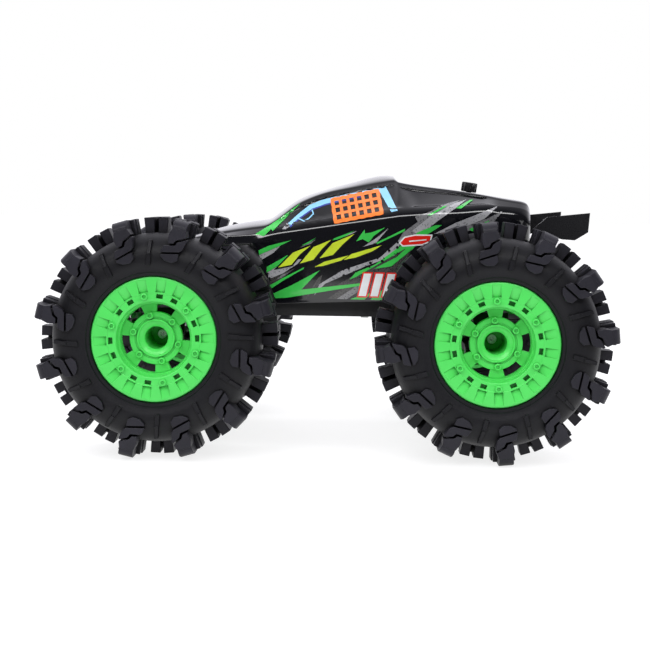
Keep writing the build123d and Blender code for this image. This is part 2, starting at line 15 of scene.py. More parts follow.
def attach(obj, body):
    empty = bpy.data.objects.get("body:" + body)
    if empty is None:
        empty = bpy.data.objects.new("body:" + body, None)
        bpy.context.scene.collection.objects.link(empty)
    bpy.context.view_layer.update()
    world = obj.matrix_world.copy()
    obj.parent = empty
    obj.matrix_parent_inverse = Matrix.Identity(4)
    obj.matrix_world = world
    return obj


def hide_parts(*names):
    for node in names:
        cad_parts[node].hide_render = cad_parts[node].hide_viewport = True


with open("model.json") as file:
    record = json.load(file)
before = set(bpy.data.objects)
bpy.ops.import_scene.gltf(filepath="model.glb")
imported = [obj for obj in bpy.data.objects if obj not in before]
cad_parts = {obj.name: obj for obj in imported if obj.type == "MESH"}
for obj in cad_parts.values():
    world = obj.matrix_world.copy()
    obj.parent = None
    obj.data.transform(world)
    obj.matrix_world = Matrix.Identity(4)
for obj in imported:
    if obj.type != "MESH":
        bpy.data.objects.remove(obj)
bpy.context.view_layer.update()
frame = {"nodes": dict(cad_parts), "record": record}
MM = 0.001
HALF_BASE = 112.5
AXLE_Z = 80.0
WHEEL_MID = 111.0
LUGS = 12
WHEELS = (
    # tag, axle x, side, angle of the first lug, angle of the first rim boss
    ("fl", -HALF_BASE, -1, 16.7, 42.5),
    ("fr", -HALF_BASE, 1, 16.7, 42.5),
    ("rl", HALF_BASE, -1, 5.4, 32.5),
    ("rr", HALF_BASE, 1, 5.4, 32.5),
)


# ---------------------------------------------------------------- materials
class Nodes:
    """Small helper for building a shader tree."""

    def __init__(self, name):
        self.mat = bpy.data.materials.new(name)
        self.mat.use_nodes = True
        self.tree = self.mat.node_tree
        self.bsdf = self.tree.nodes["Principled BSDF"]
        self.coord = self.tree.nodes.new("ShaderNodeTexCoord").outputs["Object"]

    def add(self, kind, **values):
        node = self.tree.nodes.new(kind)
        for key, value in values.items():
            setattr(node, key, value)
        return node

    def link(self, out, socket):
        self.tree.links.new(out, socket)

    def noise(self, scale, detail=3.0, rough=0.55):
        node = self.add("ShaderNodeTexNoise")
        node.inputs["Scale"].default_value = scale
        node.inputs["Detail"].default_value = detail
        node.inputs["Roughness"].default_value = rough
        self.link(self.coord, node.inputs["Vector"])
        return node.outputs["Fac"]

    def cells(self, scale):
        node = self.add("ShaderNodeTexVoronoi")
        node.inputs["Scale"].default_value = scale
        self.link(self.coord, node.inputs["Vector"])
        return node.outputs["Distance"]

    def ramp(self, fac, stops):
        node = self.add("ShaderNodeValToRGB")
        ramp = node.color_ramp
        while len(ramp.elements) < len(stops):
            ramp.elements.new(0.5)
        for element, (at, colour) in zip(ramp.elements, stops):
            element.position = at
            element.color = (*colour, 1.0)
        self.link(fac, node.inputs["Fac"])
        return node.outputs["Color"]

    def span(self, fac, low, high):
        node = self.add("ShaderNodeMapRange")
        node.inputs["To Min"].default_value = low
        node.inputs["To Max"].default_value = high
        node.inputs["From Min"].default_value = 0.3
        node.inputs["From Max"].default_value = 0.7
        self.link(fac, node.inputs["Value"])
        return node.outputs["Result"]

    def bump(self, height, strength, distance):
        node = self.add("ShaderNodeBump")
        node.inputs["Strength"].default_value = strength
        node.inputs["Distance"].default_value = distance
        self.link(height, node.inputs["Height"])
        self.link(node.outputs["Normal"], self.bsdf.inputs["Normal"])

    def set(self, **values):
        for key, value in values.items():
            self.bsdf.inputs[key.replace("_", " ")].default_value = value


def shade(colour, factor):
    return tuple(min(1.0, c * factor) for c in colour)


def plastic(name, colour, rough=0.4, spread=0.08, grain=900.0, bump=0.15, coat=0.0, patch=60.0, ior=1.46):
    """Moulded plastic: cloudy colour, fine grain in the gloss and the surface."""
    n = Nodes(name)
    cloud = n.noise(patch, 4.0)
    n.link(n.ramp(cloud, [(0.3, shade(colour, 1 - spread)), (0.7, shade(colour, 1 + spread))]),
           n.bsdf.inputs["Base Color"])
    fine = n.noise(grain, 2.0)
    n.link(n.span(fine, rough * 0.85, rough * 1.15), n.bsdf.inputs["Roughness"])
    n.bump(fine, bump, 0.0002)
    n.set(IOR=ior, Coat_Weight=coat, Coat_Roughness=0.04)
    return n.mat


def green_moulding(name, colour, painted_shade_colour):
    """Bright moulded plastic with painted shade: an ambient-occlusion mask turns creases and recesses deeper
    green.
    """
    n = Nodes(name)
    cloud = n.noise(60.0, 4.0)
    base = n.ramp(cloud, [(0.3, shade(colour, 0.96)), (0.7, shade(colour, 1.04))])
    # Painted shade: an ambient-occlusion mask mixes the base colour towards a darker green in creases and
    # recesses.
    crease = n.add("ShaderNodeAmbientOcclusion", samples=8)
    crease.inputs["Distance"].default_value = 0.0022
    mask = n.ramp(crease.outputs["AO"], [(0.22, (1, 1, 1)), (0.74, (0, 0, 0))])
    mix = n.add("ShaderNodeMix", data_type="RGBA")
    n.link(mask, mix.inputs[0])
    n.link(base, mix.inputs[6])
    mix.inputs[7].default_value = (*painted_shade_colour, 1.0)
    n.link(mix.outputs[2], n.bsdf.inputs["Base Color"])
    fine = n.noise(700.0, 2.0)
    n.link(n.span(fine, 0.30, 0.42), n.bsdf.inputs["Roughness"])
    n.bump(fine, 0.05, 0.0002)
    n.set(IOR=1.46, Coat_Weight=0.1, Coat_Roughness=0.1)
    return n.mat


def metal(name, colour, rough=0.28, brushed=0.0):
    """Turned or plated metal with faint machining marks."""
    n = Nodes(name)
    cloud = n.noise(140.0, 3.0)
    n.link(n.ramp(cloud, [(0.3, shade(colour, 0.82)), (0.7, shade(colour, 1.08))]),
           n.bsdf.inputs["Base Color"])
    fine = n.noise(1500.0, 3.0)
    n.link(n.span(fine, rough * 0.75, rough * 1.3), n.bsdf.inputs["Roughness"])
    n.bump(fine, 0.12 + brushed, 0.0001)
    n.set(Metallic=1.0)
    return n.mat


def rubber(name, colour, rough):
    """Charcoal tyre rubber: soft sheen, moulding grain, and painted shade that darkens it where the blocks
    meet the carcass.
    """
    n = Nodes(name)
    cloud = n.noise(45.0, 5.0, 0.6)
    base = n.ramp(cloud, [(0.25, shade(colour, 0.75)), (0.55, colour), (0.8, shade(colour, 1.35))])
    # Painted shade: an ambient-occlusion mask mixes the colour towards near-black in creases, where the
    # blocks meet the carcass.
    crease = n.add("ShaderNodeAmbientOcclusion", samples=8)
    crease.inputs["Distance"].default_value = 0.006
    mask = n.ramp(crease.outputs["AO"], [(0.30, (1, 1, 1)), (0.95, (0, 0, 0))])
    mix = n.add("ShaderNodeMix", data_type="RGBA")
    n.link(mask, mix.inputs[0])
    n.link(base, mix.inputs[6])
    mix.inputs[7].default_value = (0.0012, 0.0012, 0.0017, 1.0)
    n.link(mix.outputs[2], n.bsdf.inputs["Base Color"])
    fine = n.noise(1300.0, 4.0, 0.65)
    n.link(n.span(fine, rough * 0.85, rough * 1.15), n.bsdf.inputs["Roughness"])
    n.bump(fine, 0.28, 0.0003)
    n.set(IOR=1.36)
    return n.mat


def printed(name, colour, gap=None, amount=0.0, scale=700.0, rough=0.16):
    """Ink under gloss: speckled where the print breaks up into dots of the colour behind it."""
    n = Nodes(name)
    cloud = n.noise(90.0, 3.0)
    base = n.ramp(cloud, [(0.3, shade(colour, 0.93)), (0.7, shade(colour, 1.06))])
    if gap:
        spots = n.noise(scale, 3.0, 0.7)
        mask = n.ramp(spots, [(0.5 - amount - 0.02, (1, 1, 1)), (0.5 - amount + 0.02, (0, 0, 0))])
        mix = n.add("ShaderNodeMix", data_type="RGBA")
        n.link(mask, mix.inputs[0])
        n.link(base, mix.inputs[6])
        mix.inputs[7].default_value = (*gap, 1.0)
        base = mix.outputs[2]
    n.link(base, n.bsdf.inputs["Base Color"])
    fine = n.noise(420.0, 2.0)
    n.link(n.span(fine, rough * 0.8, rough * 1.2), n.bsdf.inputs["Roughness"])
    n.bump(fine, 0.05, 0.0002)
    n.set(IOR=1.46, Coat_Weight=0.6, Coat_Roughness=0.05)
    return n.mat


BLACK = (0.0045, 0.0047, 0.0065)
GREEN = (0.045, 0.52, 0.075)
MATS = {
    "tyre_rubber": rubber("tyre_rubber", (0.0042, 0.0041, 0.0062), 0.50),
    # Painted light: the tread blocks get a lighter copy of the tyre rubber, standing in for the light on
    # their faces.
    "tyre_block": rubber("tyre_block", (0.0150, 0.0142, 0.0205), 0.46),
    # the second, darker green is the painted shade colour for creases and recesses
    "green_plastic": green_moulding("green_plastic", (0.075, 0.66, 0.105), (0.010, 0.27, 0.030)),
    # Painted shade: a darker copy of the rim green for the floors of the sunken rim slots.
    "green_deep": plastic("green_deep", (0.012, 0.20, 0.028), 0.4),
    "steel": metal("steel", (0.50, 0.50, 0.51), 0.3),
    "steel_screw": metal("steel_screw", (0.62, 0.62, 0.63), 0.25),
    "black_nylon": plastic("black_nylon", (0.012, 0.0122, 0.0132), 0.48, 0.2, 1400.0, 0.3),
    "shock_plastic": plastic("shock_plastic", (0.014, 0.014, 0.016), 0.3, 0.15, 900.0, 0.1),
    # Painted light: a brighter copy of the screw steel for the wheel screw heads, which sit far down the dark
    # bore.
    "screw_face": metal("screw_face", (0.88, 0.88, 0.9), 0.5),
    "spring_steel": metal("spring_steel", (0.42, 0.42, 0.44), 0.25),
    "servo_plastic": plastic("servo_plastic", (0.02, 0.02, 0.022), 0.42, 0.15, 1100.0, 0.25),
    "white_plastic": plastic("white_plastic", (0.72, 0.72, 0.69), 0.4, 0.04, 900.0, 0.12),
    "dark_plastic": plastic("dark_plastic", (0.022, 0.022, 0.025), 0.46, 0.2, 1200.0, 0.3),
    "motor_can": metal("motor_can", (0.56, 0.56, 0.58), 0.32, 0.1),
    "battery_wrap": plastic("battery_wrap", (0.03, 0.08, 0.30), 0.28, 0.12, 500.0, 0.1, 0.3),
    "gloss_body": printed("gloss_body", BLACK, rough=0.11),
    "black_plastic": plastic("black_plastic", (0.010, 0.010, 0.0115), 0.30, 0.15, 1300.0, 0.12),
    "window": printed("window", (0.003, 0.003, 0.004), rough=0.08),
    "green_print": printed("green_print", GREEN, BLACK, 0.22),
    "green_solid": printed("green_solid", GREEN),
    "light_grey": printed("light_grey", (0.36, 0.36, 0.38), (0.10, 0.10, 0.11), 0.10),
    "dark_grey": printed("dark_grey", (0.066, 0.064, 0.062), (0.015, 0.015, 0.016), 0.04, 1500.0),
    "mid_grey": printed("mid_grey", (0.19, 0.19, 0.20), (0.05, 0.05, 0.055), 0.08, 900.0),
    "sky_blue": printed("sky_blue", (0.27, 0.60, 0.88)),
    "deep_blue": printed("deep_blue", (0.035, 0.045, 0.30)),
    "orange": printed("orange", (1.0, 0.22, 0.035), (0.75, 0.10, 0.01), 0.12, 1200.0),
    "lime": printed("lime", (0.58, 0.72, 0.035), (0.30, 0.38, 0.02), 0.16, 900.0),
    "red": printed("red", (0.75, 0.02, 0.012)),
    "white": printed("white", (0.82, 0.84, 0.86)),
    "ink_black": printed("ink_black", BLACK),
    "silver_paint": metal("silver_paint", (0.78, 0.78, 0.8), 0.3),
}


# ---------------------------------------------------------------- mesh helpers
def new_object(name, mesh, material, body, smooth=True):
    obj = bpy.data.objects.new(name, mesh)
    bpy.context.collection.objects.link(obj)
    for item in material if isinstance(material, (list, tuple)) else [material]:
        mesh.materials.append(MATS[item])
    if smooth:
        for face in mesh.polygons:
            face.use_smooth = True
    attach(obj, body)
    return obj


def bevel(obj, width, segments=2, angle=35.0):
    mod = obj.modifiers.new("soft_edges", "BEVEL")
    mod.width = width * MM
    mod.segments = segments
    mod.limit_method = "ANGLE"
    mod.angle_limit = radians(angle)
    mod.harden_normals = True
    return mod


def sharp_shade(obj, angle=35.0):
    """Smooth shading that keeps edges sharper than the angle."""
    mesh = obj.data
    mesh.shade_smooth()
    mesh.set_sharp_from_angle(angle=radians(angle))


class Parts:
    """Collects vertices and faces given in millimetres."""

    def __init__(self):
        self.verts = []
        self.faces = []
        self.slots = []

    def add(self, verts, faces, slot=0):
        base = len(self.verts)
        self.verts += [tuple(c * MM for c in v) for v in verts]
        self.faces += [tuple(base + i for i in f) for f in faces]
        self.slots += [slot] * len(faces)

    def prism(self, low, high, slot=0):
        """Closed block between two loops with the same number of corners."""
        n = len(low)
        faces = [tuple(range(n))[::-1], tuple(range(n, 2 * n))]
        faces += [(i, (i + 1) % n, n + (i + 1) % n, n + i) for i in range(n)]
        self.add(list(low) + list(high), faces, slot)

    def mesh(self, name):
        mesh = bpy.data.meshes.new(name)
        mesh.from_pydata(self.verts, [], self.faces)
        mesh.polygons.foreach_set("material_index", self.slots)
        bm = bmesh.new()
        bm.from_mesh(mesh)
        bmesh.ops.recalc_face_normals(bm, faces=bm.faces)
        bm.to_mesh(mesh)
        bm.free()
        mesh.update()
        return mesh


def revolved(parts, profile, place, steps, slot=0, closed=True):
    """Turn a list of (h, r) points about the wheel axis."""
    verts = []
    for i in range(steps):
        angle = 360.0 * i / steps
        verts += [place(angle, r, h) for h, r in profile]
    n = len(profile)
    faces = []
    spans = n if closed else n - 1
    for i in range(steps):
        j = (i + 1) % steps
        for k in range(spans):
            m = (k + 1) % n
            faces.append((i * n + k, i * n + m, j * n + m, j * n + k))
    parts.add(verts, faces, slot)


def wheel_place(x, side):
    """Point on a wheel from angle, radius and distance h outwards from its middle plane."""
    def place(angle, r, h):
        a = radians(angle)
        return (x + r * cos(a), side * (WHEEL_MID + h), AXLE_Z + r * sin(a))
    return place


# ---------------------------------------------------------------- tyres
def lug(parts, place, mid, flip, sign):
    """One tread lug: forked at the crown, capped at the shoulder, stepped down the sidewall."""
    def at(a, r, h):
        return place(mid + flip * a, r, sign * h)

    def block(outline, h_in, h_out):
        """Outline of (angle, radius); h_out may be a function of the radius."""
        out = [at(a, r, h_out(r) if callable(h_out) else h_out) for a, r in outline]
        parts.prism([at(a, r, h_in) for a, r in outline], out)

    def bar(a0, a1, section):
        """Section of (h, radius) swept from one angle to another."""
        parts.prism([at(a0, r, h) for h, r in section], [at(a1, r, h) for h, r in section])

    for a0, a1, h_in in ((-5.85, -0.9, -3.5), (0.9, 5.85, -5.5)):
        bar(a0, a1, [(h_in, 68), (h_in + 0.8, 80), (9.5, 80), (9.5, 68)])
        bar(a0 * 0.93, a1 * 0.93, [(9.0, 68), (9.0, 79.2), (17.5, 79.6), (17.5, 68)])
    bar(-3.6, 3.6, [(16.5, 67.5), (16.5, 80), (29.5, 80), (34.2, 78.6), (36.0, 76.9), (36.6, 75.5),
                    (36.6, 67.5)])

    def wall(r):
        return 37.9 - 0.012 * max(0.0, r - 66.0) ** 2 - 0.035 * max(0.0, 62.0 - r)
    block([(-3.5, 74.5), (3.4, 74.5), (4.0, 72.6), (4.8, 69.3), (4.4, 64.0), (1.3, 64.5), (0.1, 66.9),
           (-5.0, 70.1),
           (-4.6, 71.3)], 22.0, wall)
    block([(4.3, 62.9), (6.7, 62.4), (8.4, 58.6), (8.4, 57.8), (-3.2, 60.0), (-4.8, 61.8), (-5.6, 68.0),
           (-5.2, 69.0),
           (-0.8, 66.0), (0.4, 63.4)], 24.0, wall)
    block([(8.3, 56.7), (8.1, 55.2), (4.7, 52.6), (-0.7, 52.0), (-3.9, 54.6), (-3.3, 58.9)], 28.0, wall)


def tyre(tag, x, side, phase):
    place = wheel_place(x, side)
    body = Parts()
    half = [(31.2, 41.7), (32.3, 42.3), (32.6, 44.0), (33.4, 44.6), (33.7, 46.6), (34.5, 48.4), (35.1, 51.0),
            (35.2, 53.5), (34.9, 56.2), (34.1, 59.0), (32.7, 61.8), (30.6, 64.3), (27.8, 66.4), (24.0, 68.1),
            (19.0, 69.2), (12.0, 69.6)]
    profile = [(-h, r) for h, r in half] + [(h, r) for h, r in reversed(half)]
    inside = [(26.0, 41.7), (26.0, 45.0), (31.0, 52.0), (30.0, 61.0), (24.0, 66.0)]
    profile += inside + [(-h, r) for h, r in reversed(inside)]
    revolved(body, profile, place, 144)
    carcass = new_object("tyre_carcass_" + tag, body.mesh("tyre_carcass_" + tag), "tyre_rubber",
                         "wheel_" + tag)
    sharp_shade(carcass, 40)
    blocks = Parts()
    bars = Parts()
    for face, start in ((1, phase), (-1, phase + 15.0)):
        for i in range(LUGS):
            mid = start + 30.0 * i
            lug(blocks, place, mid, 1, face)
            for low, high, wide, crown in ((49.0, 57.2, 1.6, 36.5), (56.4, 65.5, 1.35, 37.3)):
                outline = [(16.2 + (57.0 - r) * 0.12 + turn * wide * 57.3 / r, r)
                           for r, turn in ((low, -1), (low, 1), (high, 1), (high, -1))]
                bars.prism([place(mid + a, r, face * 26.0) for a, r in outline],
                           [place(mid + a, r, face * (crown - 0.085 * max(0.0, r - 57.0) ** 1.8))
                            for a, r in outline])
    # the tread blocks take the lighter copy of the rubber, which is painted light
    tread = new_object("tyre_tread_" + tag, blocks.mesh("tyre_tread_" + tag), "tyre_block", "wheel_" + tag)
    ribs = new_object("tyre_ribs_" + tag, bars.mesh("tyre_ribs_" + tag), "tyre_rubber", "wheel_" + tag)
    for obj in (tread, ribs):
        bevel(obj, 0.45, 2, 30)
        sharp_shade(obj, 50)
    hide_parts("tyre_" + tag)


# ---------------------------------------------------------------- rims
def relief(parts, place, radii, lines, height, floor_h, slot=0):
    """Stepped relief on a polar grid: a flat cell at height(k, i), open where that is None, walls between."""
    index = {}

    def vert(k, i, h):
        key = (k, i % len(lines), round(h, 3))
        if key not in index:
            index[key] = len(index)
            verts.append(place(lines[i % len(lines)](radii[k]), radii[k], h))
        return index[key]
    verts, faces = [], []
    n = len(lines)
    for k in range(len(radii) - 1):
        for i in range(n):
            here = height(k, i)
            if here is None:
                continue
            low, high = here
            faces.append((vert(k, i, low), vert(k + 1, i, high), vert(k + 1, i + 1, high),
                          vert(k, i + 1, low)))
            for other, cut in ((height(k, (i + 1) % n), 1), (height(k, (i - 1) % n), 0)):
                if other is None or other[0] < low - 0.01:
                    drop = (floor_h, floor_h) if other is None else other
                    ring = [vert(k, i + cut, low), vert(k + 1, i + cut, high), vert(k + 1, i + cut, drop[1]),
                            vert(k, i + cut, drop[0])]
                    faces.append(tuple(dict.fromkeys(ring)))
            for kk, level, mine in ((k - 1, 1, low), (k + 1, 0, high)):
                if not 0 <= kk < len(radii) - 1:
                    continue
                other = height(kk, i)
                drop = floor_h if other is None else other[level]
                if drop < mine - 0.01:
                    edge = k if level else k + 1
                    faces.append((vert(edge, i, mine), vert(edge, i + 1, mine), vert(edge, i + 1, drop),
                                  vert(edge, i, drop)))
    parts.add(verts, [f for f in faces if len(f) > 2], slot)


def rim(tag, x, side, phase):
    """Deep dished rim: pocketed ring, stepped well, six spokes, collar and long bore."""
    place = wheel_place(x, side)
    parts = Parts()

    def edge_line(mid, sign, wide, narrow):
        def line(r):
            half = wide if r > 30.6 else narrow
            return mid + sign * asin(half / r) * 180.0 / pi
        return line
    lines, kinds = [], []
    for i in range(18):
        mid = phase + 20.0 * i
        for sign, kind in ((-1, "pocket"), (1, "land")):
            lines.append(edge_line(mid, sign, 3.0, 2.15))
            kinds.append((kind, i))
        for turn in (7.5, 10.0, 12.5):
            lines.append(lambda r, a=mid + turn: a)
            kinds.append(("land", i))
    tops = [(41.6, 30.1), (41.3, 30.8), (40.7, 31.15), (39.5, 31.15), (31.3, 31.15), (30.7, 31.15),
            (30.45, 30.9),
            (30.1, 30.9), (27.2, 30.9), (25.7, 30.9), (25.1, 30.6), (24.8, 30.0), (24.75, 25.3), (24.5, 24.9),
            (23.6, 24.8), (23.35, 24.4), (23.3, 19.4)]

    def ring_height(k, i):
        kind, count = kinds[i]
        low, high = tops[k][1], tops[k + 1][1]
        if kind == "pocket" and tops[k][0] == 39.5:
            return low - 0.25, high - 2.0
        if kind == "pocket" and tops[k][0] == 30.1 and count % 3:
            return low - 3.4, high - 3.4
        return low, high
    relief(parts, place, [t[0] for t in tops], lines, ring_height, 24.0)
    spokes = []
    for i in range(6):
        for turn in (-13.5, -9, -4.5, 0, 4.5, 9, 13.5, 17.8, 22, 26, 30, 34, 38, 42.2):
            spokes.append(lambda r, a=phase + 60.0 * i + turn: a)
    disc = [(23.3, 19.4), (22.9, 19.4), (17.6, 19.4), (17.3, 19.9), (14.2, 19.9), (13.9, 19.4), (12.8, 19.4)]

    def disc_height(k, i):
        if disc[k][0] == 22.9 and i % 14 > 5:
            return None
        return disc[k][1], disc[k + 1][1]
    relief(parts, place, [d[0] for d in disc], spokes, disc_height, 15.4)
    revolved(parts, [(19.4, 12.8), (20.6, 12.7), (20.9, 12.4), (20.9, 11.7), (20.6, 11.4), (19.7, 11.2),
                     (18.9, 9.6),
                     (18.0, 8.2), (17.3, 7.6), (-13.5, 7.6), (-13.5, 2.9), (-14.5, 1.8), (-16.0, 1.8),
                     (-16.0, 6.4),
                     (-20.7, 6.6), (-20.7, 10.5), (13.5, 10.6), (15.2, 12.0), (15.4, 14.0), (15.4, 17.6)],
             place, 96,
             closed=False)
    revolved(parts, [(30.1, 41.6), (-30.4, 41.6), (-31.0, 41.0), (-31.0, 38.8), (-30.4, 38.2), (24.5, 38.2),
                     (27.0, 37.0), (27.0, 28.5), (22.0, 26.3), (15.4, 26.0), (15.4, 22.9)], place, 126,
             closed=False)
    mesh = parts.mesh("rim_" + tag)
    # Painted shade: the floors of the sunken slots take the darker green copy (material slot 1).
    for face in mesh.polygons:
        across = Vector((face.center.x / MM - x, face.center.z / MM - AXLE_Z)).length
        out = side * face.center.y / MM - WHEEL_MID
        if 27.3 < across < 30.0 and 27.3 < out < 27.8:
            face.material_index = 1
    obj = new_object("rim_shell_" + tag, mesh, ("green_plastic", "green_deep"), "wheel_" + tag)
    bevel(obj, 0.22, 2, 40)
    sharp_shade(obj, 40)
    bosses = Parts()
    for i in range(6):
        for r, turn, base, top, outer, inner in ((28.8, 0, 28, 33.0, 2.3, 1.15),
                                                 (15.5, 2.7, 18, 22.2, 2.3, 1.2)):
            a = radians(phase + 60 * i + turn)
            cx, cz = x + r * cos(a), AXLE_Z + r * sin(a)

            def spot(angle, rad, h, cx=cx, cz=cz):
                return (cx + rad * cos(radians(angle)), side * (WHEEL_MID + h),
                        cz + rad * sin(radians(angle)))
            revolved(bosses, [(base, outer), (top - 0.3, outer), (top, outer - 0.3), (top, inner + 0.2),
                              (top - 0.25, inner), (top - 1.0, inner * 0.9), (top - 1.0, 0.05)], spot, 24)
    boss = new_object("rim_bosses_" + tag, bosses.mesh("rim_bosses_" + tag), "green_plastic", "wheel_" + tag)
    sharp_shade(boss, 50)
    screw = Parts()
    revolved(screw, [(-15.9, 0.4), (-11.4, 0.4), (-11.3, 1.3), (-10.6, 1.6), (-10.3, 2.4), (-10.5, 3.0),
                     (-11.2, 3.2),
                     (-15.9, 3.2)], place, 32)
    for turn in (20.0, 110.0):
        flat = [(0.35, 1.75), (0.35, -1.75), (-0.35, -1.75), (-0.35, 1.75)]
        c, d = cos(radians(turn)), sin(radians(turn))
        spots = [(x + u * c - v * d, AXLE_Z + u * d + v * c) for u, v in flat]
        screw.prism([(px, side * (WHEEL_MID - 13.0), pz) for px, pz in spots],
                    [(px, side * (WHEEL_MID - 10.9), pz) for px, pz in spots])
    # the screw head takes the brighter copy of the steel, which is painted light
    head = new_object("wheel_screw_head_" + tag, screw.mesh("wheel_screw_head_" + tag), "screw_face",
                      "wheel_" + tag)
    sharp_shade(head, 40)
    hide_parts("rim_" + tag)


# ---------------------------------------------------------------- body shell
# x, lower edge z and |y|, shoulder z and |y|, roof edge z and |y|, crown z
STATIONS = (
    (-151.0, 112.0, 33.0, 117.0, 38.0, 122.0, 30.0, 124.0),
    (-138.0, 118.0, 39.0, 127.0, 43.0, 133.0, 34.0, 136.0),
    (-101.0, 133.0, 46.0, 138.0, 49.0, 144.0, 39.0, 146.3),
    (-77.0, 140.9, 50.0, 141.8, 51.5, 149.5, 43.0, 152.9),
    (-55.0, 142.0, 53.0, 143.4, 54.5, 153.0, 47.0, 157.2),
    (-45.2, 124.2, 54.0, 146.6, 56.0, 154.5, 49.5, 158.4),
    (-38.0, 98.6, 54.5, 148.4, 57.5, 158.6, 48.0, 163.3),
    (-22.3, 99.4, 56.0, 150.9, 59.5, 170.5, 44.5, 174.2),
    (-2.9, 100.2, 58.0, 154.0, 61.5, 178.4, 43.0, 181.0),
    (13.2, 101.0, 60.0, 156.6, 63.5, 182.0, 42.0, 185.6),
    (40.0, 102.2, 62.5, 160.8, 66.0, 187.3, 41.0, 191.8),
    (45.4, 102.2, 63.0, 161.6, 66.3, 188.0, 41.0, 191.3),
    (48.6, 102.2, 63.2, 162.2, 66.5, 186.4, 45.0, 187.0),
    (92.5, 102.2, 64.5, 165.5, 67.5, 180.6, 46.5, 181.2),
    (112.0, 102.2, 65.0, 167.0, 67.5, 177.6, 51.0, 178.5),
    (118.0, 102.2, 65.0, 166.0, 67.5, 176.4, 58.0, 177.6),
    (128.0, 102.2, 64.5, 165.5, 66.8, 174.8, 59.5, 176.2),
    (135.0, 102.2, 63.0, 164.5, 65.4, 173.8, 58.5, 175.2),
    (139.8, 102.2, 60.5, 162.5, 62.5, 172.2, 55.0, 173.8),
    (142.4, 102.2, 54.5, 159.5, 56.5, 167.0, 50.0, 168.4),
)
SHARP_X = (-148, -50, -48, -42, -36, 42, 43.8, 46.5, 47.6, 50.2, 52, 54, 58, 62, 137.5, 141.4)
CAB_END = (45.4, 48.6)
COLUMN_STEP = 4.0
ARCH_R = 72.0


def station(x):
    """Measures at x: straight lines for the lower edge, smooth curves through the stations for the rest."""
    last = len(STATIONS) - 1
    i = next((k for k in range(last) if x <= STATIONS[k + 1][0]), last - 1)
    before, a, b, after = (STATIONS[min(last, max(0, i + k))] for k in (-1, 0, 1, 2))
    gap = b[0] - a[0]
    t = (x - a[0]) / gap
    values = []
    for k in range(len(a)):
        straight = a[k] + (b[k] - a[k]) * t
        if k < 3:
            values.append(straight)
            continue
        rise = (b[k] - a[k]) / gap
        slopes = []
        for p, q in ((before, a), (b, after)):
            other = (q[k] - p[k]) / (q[0] - p[0]) if q[0] > p[0] else rise
            same_way = other * rise > 0
            slopes.append(2 * other * rise / (other + rise) * gap if same_way else 0.0)
        t2, t3 = t * t, t ** 3
        values.append((2 * t3 - 3 * t2 + 1) * a[k] + (t3 - 2 * t2 + t) * slopes[0]
                      + (3 * t2 - 2 * t3) * b[k] + (t3 - t2) * slopes[1])
    return values


def ramp(x, x0, x1):
    t = min(1.0, max(0.0, (x - x0) / (x1 - x0)))
    return t * t * (3 - 2 * t)


def section(x):
    """Half cross-section of the shell, from the crown to the lower edge."""
    _, z_low, y_low, z_mid, y_mid, z_top, y_top, z_crown = station(x)
    reach = ARCH_R ** 2 - (x - HALF_BASE) ** 2
    if reach > 0 and x > 0:
        z_low = max(z_low, AXLE_Z + reach ** 0.5)
    rise = z_crown - z_top
    pts = [(0.0, z_crown), (y_top * 0.45, z_crown - rise * 0.16), (y_top * 0.8, z_top + rise * 0.42),
           (y_top * 0.94, z_top + rise * 0.16), (y_top, z_top - 0.3)]
    edge = Vector((y_top + 1.0, z_top - 1.8))
    lip = Vector((y_mid - 1.2 - 1.5 * ramp(x, -60, -40), z_mid + 4.2))
    shoulder = Vector((y_mid - 0.6, z_mid + 0.4))
    front = ramp(x, -42, -33)
    for t in (0.0, 0.09, 0.13, 0.5, 0.87, 0.91):
        p = edge.lerp(lip, t)
        if 0.1 < t < 0.9:
            p.x -= 1.3 * front * (1 - ramp(x, 41.5 + 8 * t, 45.0 + 8 * t))
            sail = ramp(x, 48.0 + 12 * t, 51.5 + 12 * t) * (1 - ramp(x, 108.0, 113.0))
            p.x -= (1.6 if t < 0.3 else 3.2 if t < 0.8 else 3.6) * sail
        pts.append((p.x, p.y))
    pts.append((lip.x, lip.y))
    pts.append((shoulder.x, shoulder.y))
    pts.append((y_mid, z_mid - 1.8))
    low = min(z_mid - 3.0, z_low)
    for t in (0.2, 0.5, 0.85):
        pts.append((y_mid + (y_low - y_mid) * t + 0.3, z_mid - 1.8 + (low + 1.0 - z_mid + 1.8) * t))
    pts.append((y_low, low + 0.8))
    pts.append((y_low - 0.3, low))
    return pts


